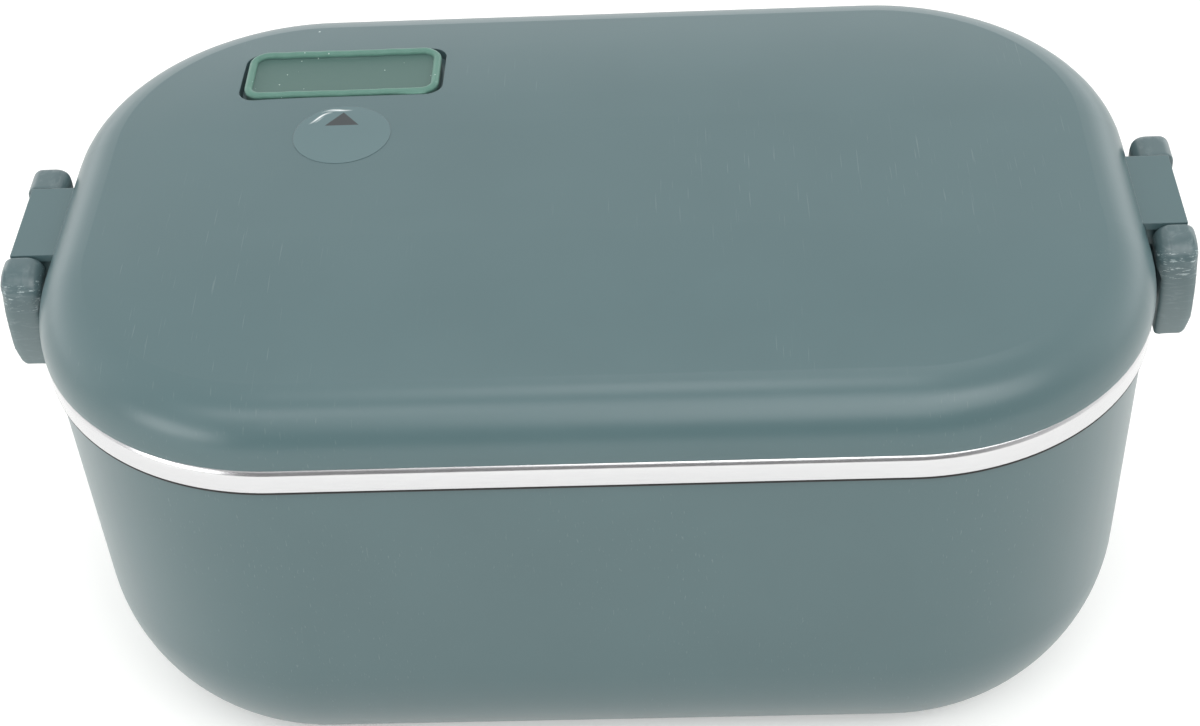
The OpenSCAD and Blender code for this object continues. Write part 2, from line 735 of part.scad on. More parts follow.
// Side profile about the hinge axis: a knuckle and an arm with a bowed outer face
module latch_profile() {
    bow_r = (latch_drop * latch_drop + latch_lean * latch_lean) / (2 * latch_lean);
    in = latch_in - hinge_x;
    inner_r = 0.8 * knuckle_r;
    outer_r = 0.55 * knuckle_r;
    difference() {
        union() {
            translate([inner_r - knuckle_r, knuckle_r - inner_r]) circle(inner_r);
            translate([knuckle_r - outer_r, knuckle_r - outer_r]) circle(outer_r);
            polygon([[in, -1], [-knuckle_r + blend, -1], [-knuckle_r + blend, knuckle_r - inner_r],
                [inner_r - knuckle_r, knuckle_r - blend], [knuckle_r - outer_r, knuckle_r - blend],
                [knuckle_r - blend, knuckle_r - outer_r], [knuckle_r - blend, 0], [0, -1]]);
            intersection() {
                translate([knuckle_r - bow_r, 0]) circle(bow_r, $fn = 360);
                polygon([[in, -0.5], [in, -latch_drop + 0.6], [in + 0.6, -latch_drop],
                    [knuckle_r - latch_lean - 1.6, -latch_drop], [knuckle_r + 1, -latch_drop + 2.8],
                    [knuckle_r + 1, 0.5], [0, 0.5]]);
            }
        }
        translate([0.3, -latch_drop - 19.5]) circle(20);
    }
}

module latch() {
    in = latch_in - hinge_x;
    depth = 2 * knuckle_r + 0.2;
    color(green) translate([hinge_x, 0, hinge_z]) {
        difference() {
            intersection() {
                translate([0, latch_w / 2, 0]) rotate([90, 0, 0]) linear_extrude(latch_w) latch_profile();
                translate([0, 0, -latch_drop - 1]) rounded_block(depth, latch_w, 2.8, far);
            }
            rotate([90, 0, 0]) cylinder(r = knuckle_r + lug_clear, h = lug_w + 0.6, center = true);
            translate([in - 10, -lug_w / 2 + 1.5, -latch_drop + 6.2])
                cube([10 + 2 * knuckle_r - 6, lug_w - 3, 7]);
            rotate([90, 0, 0]) cylinder(r = pin_r + run, h = pin_l + 0.6, center = true);
        }
        translate([0, catch_w / 2 - 1, 0]) rotate([90, 0, 0]) linear_extrude(catch_w - 2)
            polygon([[in + 0.5, hook_z - hinge_z + hook_t], [hook_tip - hinge_x, hook_z - hinge_z + hook_t],
                [hook_tip - hinge_x, hook_z - hinge_z + 1.4], [in + 0.5, hook_z - hinge_z - 0.2]]);
    }
}

module left_hinge_pin() mirror([1, 0, 0]) hinge_pin();
module right_hinge_pin() hinge_pin();
module left_latch() mirror([1, 0, 0]) latch();
module right_latch() latch();

outer_shell();
inner_tub();
base_cover();
base_screws();
rubber_feet();
heating_plate();
plate_screws();
ptc_heater();
heater_clamps();
clamp_screws();
thermostat();
thermal_fuse();
fuse_clip();
power_inlet();
inlet_pins();
indicator_lens();
indicator_lamp();
wire_leads();
steel_liner();
lid_shell();
lid_panel();
lid_seal();
vent_bush();
valve_anchor();
label_film();
left_hinge_pin();
right_hinge_pin();
valve_plug();
left_latch();
right_latch();
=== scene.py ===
import json
import math
import bmesh
import bpy
from mathutils import Matrix, Vector


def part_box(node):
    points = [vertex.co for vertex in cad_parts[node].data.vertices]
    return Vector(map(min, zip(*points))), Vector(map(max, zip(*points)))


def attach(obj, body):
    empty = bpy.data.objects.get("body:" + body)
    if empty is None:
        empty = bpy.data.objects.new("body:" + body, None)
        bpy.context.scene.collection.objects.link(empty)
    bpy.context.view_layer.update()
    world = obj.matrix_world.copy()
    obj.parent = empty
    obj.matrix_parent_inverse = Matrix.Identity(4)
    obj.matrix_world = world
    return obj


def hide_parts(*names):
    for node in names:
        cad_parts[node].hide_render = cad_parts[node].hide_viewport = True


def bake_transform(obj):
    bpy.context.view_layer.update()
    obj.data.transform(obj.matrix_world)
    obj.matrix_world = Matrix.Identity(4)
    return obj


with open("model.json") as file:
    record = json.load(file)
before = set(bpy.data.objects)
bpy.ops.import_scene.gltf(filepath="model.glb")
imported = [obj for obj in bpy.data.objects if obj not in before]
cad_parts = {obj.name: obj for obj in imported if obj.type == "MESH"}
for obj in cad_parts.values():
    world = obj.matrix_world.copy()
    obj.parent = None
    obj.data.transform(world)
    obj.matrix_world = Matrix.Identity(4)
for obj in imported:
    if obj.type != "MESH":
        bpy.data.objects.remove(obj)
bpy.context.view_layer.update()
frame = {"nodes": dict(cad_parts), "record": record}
nodes = frame["nodes"]
mm = 0.001
print("frame loaded:", len(nodes), "CAD nodes")


def linear(code):  # an sRGB hex colour as the linear values that shaders take
    parts = [int(code[i:i + 2], 16) / 255 for i in (1, 3, 5)]
    return [p / 12.92 if p <= 0.04045 else ((p + 0.055) / 1.055) ** 2.4 for p in parts] + [1.0]


def add(tree, kind, settings=None, links=None):  # one node with its settings and links
    node = tree.nodes.new(kind)
    for name, value in (settings or {}).items():
        if isinstance(name, int) or name in node.inputs:
            node.inputs[name].default_value = value
        else:
            setattr(node, name, value)
    for name, source in (links or {}).items():
        tree.links.new(source, node.inputs[name])
    return node


def newObject(name, data):  # an object at the origin, linked to the scene
    item = bpy.data.objects.new(name, data)
    bpy.context.scene.collection.objects.link(item)
    return item


def newMaterial(name, settings):  # a Principled surface whose plain values sit on its own sockets
    material = bpy.data.materials.new(name)
    material.use_nodes = True
    tree = material.node_tree
    tree.nodes.clear()
    shader = add(tree, "ShaderNodeBsdfPrincipled", settings)
    add(tree, "ShaderNodeOutputMaterial", links={"Surface": shader.outputs["BSDF"]})
    place = add(tree, "ShaderNodeTexCoord").outputs["Object"]
    return material, tree, shader, place


def colourOf(material):  # a finished material's tree, its shader's colour socket, and what feeds that socket
    tree = material.node_tree
    socket = tree.nodes["Principled BSDF"].inputs["Base Color"]
    return tree, socket, socket.links[0].from_socket


camera = {"turn": 3.07, "rise": 41.28, "roll": -3.54, "distance": 526.88, "target": 55.2,
          "focal": 2267.01, "centre": (604.09, 372.96), "imageWidth": 1200, "imageHeight": 726, "sensor": 36,
          "near": 0.01, "far": 20}


def placeCamera(c):
    turn, rise, roll = (math.radians(c[k]) for k in ("turn", "rise", "roll"))
    back = Vector((math.sin(turn) * math.cos(rise), -math.cos(turn) * math.cos(rise), math.sin(rise)))
    right = (-back).cross(Vector((0, 0, 1))).normalized()
    up = right.cross(-back)
    rolledRight = math.cos(roll) * right + math.sin(roll) * up
    rolledUp = -math.sin(roll) * right + math.cos(roll) * up
    data = bpy.data.cameras.new("studioCamera")
    data.sensor_width = c["sensor"]
    data.lens = c["focal"] * c["sensor"] / c["imageWidth"]
    data.shift_x = (c["imageWidth"] / 2 - c["centre"][0]) / c["imageWidth"]
    data.shift_y = (c["centre"][1] - c["imageHeight"] / 2) / c["imageWidth"]
    data.clip_start, data.clip_end = c["near"], c["far"]
    item = newObject("studioCamera", data)
    turned = Matrix((rolledRight, rolledUp, back)).transposed().to_4x4()
    stand = Vector((0, 0, c["target"] * mm)) + back * c["distance"] * mm
    item.matrix_world = Matrix.Translation(stand) @ turned
    bpy.context.scene.camera = item


placeCamera(camera)
print("camera placed")

# the surroundings' brightness is "everywhere", and "behind", "lowBehind" and "sides" are added to it; each
# comes in over the span of directions that follows it, from none to all
studio = {"floorHalf": 3.0, "floor": "#e9e9e7", "floorGlow": 0.25, "backdrop": 1.0, "everywhere": 0.31,
          "behind": 0.64, "behindSpan": (-0.6, 0.2), "lowBehind": 0.9, "lowSpan": (0.1, 0.5),
          "furtherSpan": (-0.1, 0.6), "sides": 0.4, "sideSpan": (0.3, 0.9)}
lamps = [  # name, bearing from the back, height in degrees, distance, width, depth, watts
    ("overheadSoftbox", 0, 88, 1.5, 0.42, 0.42, 1.7),
    ("overheadStrip", 14, 66, 1.5, 0.90, 0.10, 0.9),
    ("frontSoftbox", 180, 62, 1.6, 1.80, 0.40, 5.5),
    ("rightSoftbox", 150, 45, 1.6, 1.60, 0.70, 9.0),
    ("leftSoftbox", 205, 45, 1.6, 1.60, 0.70, 1.8),
    ("leftSpot", 228, 16, 1.5, 0.80, 0.42, 4.6),
]


def buildStudio(s):
    mesh = bpy.data.meshes.new("studioFloor")
    h = s["floorHalf"]
    mesh.from_pydata([(-h, -h, 0), (h, -h, 0), (h, h, 0), (-h, h, 0)], [], [(0, 1, 2, 3)])
    floor = newObject("studioFloor", mesh)
    material = bpy.data.materials.new("paintedCove")  # matt white paint, its shadow kept faint for the camera
    material.use_nodes = True
    tree = material.node_tree
    tree.nodes.clear()
    ray = add(tree, "ShaderNodeLightPath")
    paint = add(tree, "ShaderNodeBsdfDiffuse", {"Color": linear(s["floor"])})
    glow = add(tree, "ShaderNodeEmission", {"Color": (1, 1, 1, 1)})
    seen = add(tree, "ShaderNodeMath", {"operation": "MAXIMUM"},
               {0: ray.outputs["Is Camera Ray"], 1: ray.outputs["Is Glossy Ray"]})
    level = add(tree, "ShaderNodeMath", {"operation": "MULTIPLY", 1: s["floorGlow"]},
                {0: seen.outputs[0]})
    tree.links.new(level.outputs[0], glow.inputs["Strength"])
    both = add(tree, "ShaderNodeAddShader", links={0: paint.outputs[0], 1: glow.outputs[0]})
    # a camera beneath the floor looks up through it, so that the underside of the box can be seen
    side = add(tree, "ShaderNodeNewGeometry")
    under = add(tree, "ShaderNodeMath", {"operation": "MULTIPLY"},
                {0: side.outputs["Backfacing"], 1: ray.outputs["Is Camera Ray"]})
    clear = add(tree, "ShaderNodeBsdfTransparent")
    facing = add(tree, "ShaderNodeMixShader",
                 links={0: under.outputs[0], 1: both.outputs[0], 2: clear.outputs[0]})
    add(tree, "ShaderNodeOutputMaterial", links={"Surface": facing.outputs[0]})
    mesh.materials.append(material)
    world = bpy.data.worlds.new("studioWorld")
    bpy.context.scene.world = world
    world.use_nodes = True
    tree = world.node_tree
    tree.nodes.clear()
    ray = add(tree, "ShaderNodeLightPath")
    direction = add(tree, "ShaderNodeTexCoord").outputs["Generated"]
    way = add(tree, "ShaderNodeSeparateXYZ", links={0: direction})
    aside = add(tree, "ShaderNodeMath", {"operation": "ABSOLUTE"}, {0: way.outputs["X"]})
    behind = add(tree, "ShaderNodeMapRange", {"interpolation_type": "SMOOTHSTEP", "To Max": s["behind"],
                                              "From Min": s["behindSpan"][0], "From Max": s["behindSpan"][1]},
                 {"Value": way.outputs["Y"]})
    low = add(tree, "ShaderNodeMapRange", {"interpolation_type": "SMOOTHSTEP", "To Min": s["lowBehind"],
                                           "From Min": s["lowSpan"][0], "From Max": s["lowSpan"][1],
                                           "To Max": 0.0}, {"Value": way.outputs["Z"]})
    further = add(tree, "ShaderNodeMapRange", {"interpolation_type": "SMOOTHSTEP",
                                               "From Min": s["furtherSpan"][0],
                                               "From Max": s["furtherSpan"][1]}, {"Value": way.outputs["Y"]})
    sides = add(tree, "ShaderNodeMapRange", {"interpolation_type": "SMOOTHSTEP", "To Max": s["sides"],
                                             "From Min": s["sideSpan"][0], "From Max": s["sideSpan"][1]},
                {"Value": aside.outputs[0]})
    level = add(tree, "ShaderNodeMath", {"operation": "MULTIPLY_ADD"},
                {0: low.outputs[0], 1: further.outputs[0], 2: behind.outputs[0]})
    level = add(tree, "ShaderNodeMath", {"operation": "ADD"}, {0: level.outputs[0], 1: sides.outputs[0]})
    level = add(tree, "ShaderNodeMath", {"operation": "ADD", 1: s["everywhere"]}, {0: level.outputs[0]})
    seen = add(tree, "ShaderNodeMix", {"data_type": "FLOAT", 3: s["backdrop"]},
               {0: ray.outputs["Is Camera Ray"], 2: level.outputs[0]})
    sky = add(tree, "ShaderNodeBackground", {"Color": (1, 1, 1, 1)}, {"Strength": seen.outputs[0]})
    add(tree, "ShaderNodeOutputWorld", links={"Surface": sky.outputs[0]})
    for name, bearing, height, distance, width, depth, power in lamps:
        b, e = math.radians(bearing), math.radians(height)
        place = distance * Vector((math.sin(b) * math.cos(e), math.cos(b) * math.cos(e), math.sin(e)))
        data = bpy.data.lights.new(name, "AREA")
        data.shape = "RECTANGLE"
        data.size, data.size_y, data.energy = width, depth, power
        lamp = newObject(name, data)
        lamp.location = place
        aim = Vector((0, 0, camera["target"] * mm)) - place
        lamp.rotation_euler = aim.to_track_quat("-Z", "Y").to_euler()


buildStudio(studio)
bpy.context.scene.view_settings.view_transform = "Standard"
print("studio built")


# how far the roughness strays to each side, and how high the grain stands in mm, for each family of surface
surface = {"plasticStray": 0.025, "metalBelow": 0.04, "metalAbove": 0.06, "rubberStray": 0.05, "grain": 0.1,
           "lines": 0.05, "skin": 0.1, "skinRelief": 0.15, "plasticIor": 1.53, "rubberIor": 1.43}


def mouldedPlastic(name, look):
    # injection-moulded polypropylene: satin, a slightly cloudy tint and the fine grain of an eroded mould;
    # the real grain of about 0.1 mm is drawn at look["grain"] mm so that it shows
    material, tree, shader, place = newMaterial(name, {"IOR": surface["plasticIor"], "Metallic": 0.0})
    cloud = add(tree, "ShaderNodeTexNoise", {"Scale": 1 / (look["cloud"] * mm), "Detail": 3.0},
                {"Vector": place})
    tint = add(tree, "ShaderNodeMix", {"data_type": "RGBA", 6: linear(look["dark"]),
                                       7: linear(look["light"])}, {0: cloud.outputs[0]})
    # hairline scuffs: a noise drawn out along one way, its few peaks kept in a few patches
    drawn = add(tree, "ShaderNodeMapping", {"Rotation": (0, 0, look["scuffTurn"]),
                                            "Scale": look["scuffLines"]}, {"Vector": place})
    lines = add(tree, "ShaderNodeTexNoise", {"Scale": 1 / (look["scuffWidth"] * mm), "Detail": 1.0},
                {"Vector": drawn.outputs[0]})
    peaks = add(tree, "ShaderNodeMapRange", {"From Min": look["scuffPeak"][0],
                                             "From Max": look["scuffPeak"][1],
                                             "To Max": look["scuff"]}, {"Value": lines.outputs[0]})
    patch = add(tree, "ShaderNodeTexNoise", {"Scale": 1 / (look["scuffPatch"] * mm)}, {"Vector": place})
    kept = add(tree, "ShaderNodeMapRange", {"From Min": look["scuffEdge"][0],
                                            "From Max": look["scuffEdge"][1]}, {"Value": patch.outputs[0]})
    scuff = add(tree, "ShaderNodeMath", {"operation": "MULTIPLY"}, {0: peaks.outputs[0], 1: kept.outputs[0]})
    # dust: sparse pale motes where a cell's centre meets the surface
    cells = add(tree, "ShaderNodeTexVoronoi", {"Scale": 1 / (look["dustApart"] * mm)}, {"Vector": place})
    mote = add(tree, "ShaderNodeMath", {"operation": "LESS_THAN", 1: look["dustSize"] / look["dustApart"]},
               {0: cells.outputs["Distance"]})
    marked = add(tree, "ShaderNodeMath", {"operation": "MAXIMUM"}, {0: mote.outputs[0], 1: scuff.outputs[0]})
    marks = add(tree, "ShaderNodeMix", {"data_type": "RGBA", 7: linear(look["dust"])},
                {0: marked.outputs[0], 6: tint.outputs[2]})
    sheen = add(tree, "ShaderNodeMapRange", {"To Min": look["rough"] - surface["plasticStray"],
                                             "To Max": look["rough"] + surface["plasticStray"]},
                {"Value": cloud.outputs[0]})
    grain = add(tree, "ShaderNodeTexNoise", {"Scale": 1 / (look["grain"] * mm), "Detail": 2.0},
                {"Vector": place})
    # no moulded edge is quite sharp: the light turns over each one within look["edge"] mm
    edge = add(tree, "ShaderNodeBevel", {"Radius": look["edge"] * mm, "samples": 4})
    bump = add(tree, "ShaderNodeBump", {"Strength": look["relief"], "Distance": surface["grain"] * mm},
               {"Height": grain.outputs[0], "Normal": edge.outputs[0]})
    tree.links.new(marks.outputs[2], shader.inputs["Base Color"])
    tree.links.new(sheen.outputs[0], shader.inputs["Roughness"])
    tree.links.new(bump.outputs[0], shader.inputs["Normal"])
    return material


def metal(name, look):
    # a metal surface with the fine lines that rolling, pressing or turning leaves along one way
    material, tree, shader, place = newMaterial(name, {"Metallic": 1.0})
    stretch = add(tree, "ShaderNodeMapping", {"Scale": look["lines"]}, {"Vector": place})
    lines = add(tree, "ShaderNodeTexNoise", {"Scale": 1 / (look["pitch"] * mm), "Detail": 4.0},
                {"Vector": stretch.outputs[0]})
    tint = add(tree, "ShaderNodeMix", {"data_type": "RGBA", 6: linear(look["dark"]),
                                       7: linear(look["light"])}, {0: lines.outputs[0]})
    sheen = add(tree, "ShaderNodeMapRange", {"To Min": look["rough"] - surface["metalBelow"],
                                             "To Max": look["rough"] + surface["metalAbove"]},
                {"Value": lines.outputs[0]})
    bump = add(tree, "ShaderNodeBump", {"Strength": look["relief"], "Distance": surface["lines"] * mm},
               {"Height": lines.outputs[0]})
    tree.links.new(tint.outputs[2], shader.inputs["Base Color"])
    tree.links.new(sheen.outputs[0], shader.inputs["Roughness"])
    tree.links.new(bump.outputs[0], shader.inputs["Normal"])
    return material


def pressedSteel(name, look):
    # stainless drawn into a bowl: buffed on the rim, and left a duller grey on the walls that were stretched
    material = metal(name, look)
    tree, colour, base = colourOf(material)
    place = add(tree, "ShaderNodeTexCoord").outputs["Object"]
    part = add(tree, "ShaderNodeSeparateXYZ", links={0: place})
    drawn = add(tree, "ShaderNodeMapRange", {"From Min": look["rimFoot"] * mm,
                                             "From Max": look["wallTop"] * mm}, {"Value": part.outputs["Z"]})
    duller = add(tree, "ShaderNodeMix", {"data_type": "RGBA", "blend_type": "MULTIPLY",
                                         7: linear(look["wallColour"])}, {0: drawn.outputs[0], 6: base})
    tree.links.new(duller.outputs[2], colour)
    return material


def rubbery(name, look):
    # silicone or rubber: a soft matt skin with faint mottling
    material, tree, shader, place = newMaterial(name, {"IOR": surface["rubberIor"], "Metallic": 0.0,
                                                       "Sheen Weight": look["sheen"]})
    mottle = add(tree, "ShaderNodeTexNoise", {"Scale": 1 / (look["mottle"] * mm), "Detail": 4.0},
                 {"Vector": place})
    tint = add(tree, "ShaderNodeMix", {"data_type": "RGBA", 6: linear(look["dark"]),
                                       7: linear(look["light"])}, {0: mottle.outputs[0]})
    bump = add(tree, "ShaderNodeBump", {"Strength": surface["skinRelief"], "Distance": surface["skin"] * mm},
               {"Height": mottle.outputs[0]})
    sheen = add(tree, "ShaderNodeMapRange", {"To Min": look["rough"] - surface["rubberStray"],
                                             "To Max": look["rough"] + surface["rubberStray"]},
                {"Value": mottle.outputs[0]})
    tree.links.new(tint.outputs[2], shader.inputs["Base Color"])
    tree.links.new(sheen.outputs[0], shader.inputs["Roughness"])
    tree.links.new(bump.outputs[0], shader.inputs["Normal"])
    return material


def latchPlastic(name, look):
    # the same moulded polypropylene where fingers and nails work it: short pale ticks across the upper front
    # corner of each arm, finer scrapes round the whole grip, and a painted reflection of the white floor that
    # turns each arm paler grey towards its lower end
    material = mouldedPlastic(name, look)
    tree, colour, base = colourOf(material)
    place = add(tree, "ShaderNodeTexCoord").outputs["Object"]
    part = add(tree, "ShaderNodeSeparateXYZ", links={0: place})
    short = add(tree, "ShaderNodeMapping", {"Scale": look["tickLines"]}, {"Vector": place})
    ticks = add(tree, "ShaderNodeTexNoise", {"Scale": 1 / (look["tick"] * mm), "Detail": 3.0,
                                             "Roughness": 0.7}, {"Vector": short.outputs[0]})
    sharp = add(tree, "ShaderNodeMapRange", {"From Min": look["tickPeak"][0],
                                             "From Max": look["tickPeak"][1]}, {"Value": ticks.outputs[0]})
    high = add(tree, "ShaderNodeMath", {"operation": "COMPARE", 1: look["tickHeight"] * mm,
                                        2: look["tickReach"] * mm}, {0: part.outputs["Z"]})
    front = add(tree, "ShaderNodeMath", {"operation": "LESS_THAN", 1: look["tickFront"] * mm},
                {0: part.outputs["Y"]})
    worn = add(tree, "ShaderNodeMath", {"operation": "MULTIPLY"}, {0: high.outputs[0], 1: front.outputs[0]})
    worn = add(tree, "ShaderNodeMath", {"operation": "MULTIPLY"}, {0: worn.outputs[0], 1: sharp.outputs[0]})
    pale = add(tree, "ShaderNodeMix", {"data_type": "RGBA", 7: linear(look["tickColour"])},
               {0: worn.outputs[0], 6: base})
    drawn = add(tree, "ShaderNodeMapping", {"Scale": look["scrapeLines"]}, {"Vector": place})
    fine = add(tree, "ShaderNodeTexNoise", {"Scale": 1 / (look["scrape"] * mm), "Detail": 4.0,
                                            "Roughness": 0.65, "Distortion": 0.6},
               {"Vector": drawn.outputs[0]})
    scraped = add(tree, "ShaderNodeMapRange", {"From Min": look["scrapePeak"][0],
                                               "From Max": look["scrapePeak"][1],
                                               "To Max": look["scrapePale"]}, {"Value": fine.outputs[0]})
    pale = add(tree, "ShaderNodeMix", {"data_type": "RGBA", 7: linear(look["tickColour"])},
               {0: scraped.outputs[0], 6: pale.outputs[2]})
    # painted reflection: the arm's colour runs to a paler grey down towards its lower end, standing for the
    # white floor it reflects
    paintedReflection = add(tree, "ShaderNodeMapRange", {"From Min": look["paintedReflectionTop"] * mm, "From Max": look["paintedReflectionLow"] * mm,
                                           "To Max": look["paintedReflection"]}, {"Value": part.outputs["Z"]})
    reflected = add(tree, "ShaderNodeMix", {"data_type": "RGBA", 7: linear(look["paintedReflectionColour"])},
                 {0: paintedReflection.outputs[0], 6: pale.outputs[2]})
    tree.links.new(reflected.outputs[2], colour)
    return material


def valveSilicone(name, look):
    # soft green silicone: a skin rubbed clean on the rolled rim, and a greyer floor where lint settles
    material = rubbery(name, look)
    tree, colour, base = colourOf(material)
    place = add(tree, "ShaderNodeTexCoord").outputs["Object"]
    part = add(tree, "ShaderNodeSeparateXYZ", links={0: place})
    sunk = add(tree, "ShaderNodeMapRange", {"From Min": look["rimHeight"] * mm,
                                            "From Max": look["floorHeight"] * mm},
               {"Value": part.outputs["Z"]})
    dull = add(tree, "ShaderNodeMix", {"data_type": "RGBA", 7: linear(look["floorColour"])},
               {0: sunk.outputs[0], 6: base})
    cells = add(tree, "ShaderNodeTexVoronoi", {"Scale": 1 / (look["lintApart"] * mm)}, {"Vector": place})
    lint = add(tree, "ShaderNodeMath", {"operation": "LESS_THAN", 1: look["lintSize"] / look["lintApart"]},
               {0: cells.outputs["Distance"]})
    specks = add(tree, "ShaderNodeMix", {"data_type": "RGBA", 7: linear(look["lintColour"])},
                 {0: lint.outputs[0], 6: dull.outputs[2]})
    tree.links.new(specks.outputs[2], colour)
    return material


def clearFilm(name, look):
    # glossy clear polypropylene film over the lid: it shows the lid's own colour a little lighter, is painted
    # near white where it has creased and lifted as a painted reflection, and carries one printed arrowhead
    # that points at the valve
    material = mouldedPlastic(name, look)
    tree, colour, base = colourOf(material)
    # painted reflection: the film is painted towards near white as far as it lifts off the lid
    lifted = add(tree, "ShaderNodeAttribute", {"attribute_name": "lifted"})
    white = add(tree, "ShaderNodeMix", {"data_type": "RGBA", 7: linear(look["liftReflectionColour"])},
                {0: lifted.outputs["Fac"], 6: base})
    place = add(tree, "ShaderNodeTexCoord").outputs["Object"]
    part = add(tree, "ShaderNodeSeparateXYZ", links={0: place})
    across = add(tree, "ShaderNodeMath", {"operation": "SUBTRACT", 1: look["arrowPlace"] * mm},
                 {0: part.outputs["X"]})
    spread = add(tree, "ShaderNodeMath", {"operation": "ABSOLUTE"}, {0: across.outputs[0]})
    room = add(tree, "ShaderNodeMapRange", {"From Min": look["arrowBase"] * mm,
                                            "From Max": look["arrowTip"] * mm, "To Max": 0.0,
                                            "To Min": look["arrowHalf"] * mm, "clamp": False},
               {"Value": part.outputs["Y"]})
    inside = add(tree, "ShaderNodeMath", {"operation": "LESS_THAN"},
                 {0: spread.outputs[0], 1: room.outputs[0]})
    above = add(tree, "ShaderNodeMath", {"operation": "GREATER_THAN", 1: look["arrowBase"] * mm},
                {0: part.outputs["Y"]})
    ink = add(tree, "ShaderNodeMath", {"operation": "MULTIPLY"}, {0: inside.outputs[0], 1: above.outputs[0]})
    printed = add(tree, "ShaderNodeMix", {"data_type": "RGBA", 7: linear(look["ink"])},
                  {0: ink.outputs[0], 6: white.outputs[2]})
    tree.links.new(printed.outputs[2], colour)
    return material


# sizes in mm; a "...Lines" value stretches a pattern along the ways where it is small, and a "...Peak" or
# "...Edge" pair is the span of noise over which a mark comes in
plastic = {"cloud": 30, "grain": 0.5, "relief": 0.05, "rough": 0.305, "edge": 0.3, "scuff": 0.1,
           "scuffWidth": 0.35, "scuffLines": (1, 0.03, 0.2), "scuffTurn": 1.0, "scuffPeak": (0.7, 0.76),
           "scuffPatch": 45, "scuffEdge": (0.5, 0.6), "dustApart": 26, "dustSize": 0.25, "dust": "#b4bfbe",
           "dark": "#475e61", "light": "#4c6467"}
# the grip's last four values paint a paler grey onto each arm's lower end: a painted reflection of the white
# floor
grip = dict(plastic, dark="#4a5d60", light="#4e6265", tick=0.7, tickLines=(0.3, 1, 1.3),
            tickPeak=(0.57, 0.68), tickHeight=98.5, tickReach=3.2, tickFront=-12, tickColour="#a9b6b7",
            scrape=1.3, scrapeLines=(0.3, 0.3, 1.6), scrapePeak=(0.52, 0.72), scrapePale=0.16,
            paintedReflectionTop=97, paintedReflectionLow=79, paintedReflection=0.45, paintedReflectionColour="#8f9c9d")
film = dict(plastic, dark="#50686b", light="#556d70", rough=0.2, liftReflectionColour="#dfe5e5", ink="#2c3335",
            arrowPlace=-56.2, arrowBase=20.0, arrowTip=25.0, arrowHalf=3.8)
bowl = {"rimFoot": 89.5, "wallTop": 84.0, "wallColour": "#d3d3d4", "lines": (1, 1, 12), "pitch": 4,
        "rough": 0.2, "relief": 0.05, "dark": "#c6c6c8", "light": "#d2d2d3"}
valve = {"mottle": 2, "rough": 0.42, "sheen": 0.05, "dark": "#4b7266", "light": "#588174", "rimHeight": 112.7,
         "floorHeight": 112.3, "floorColour": "#46625c", "lintApart": 2.6, "lintSize": 0.16,
         "lintColour": "#a9bab4"}
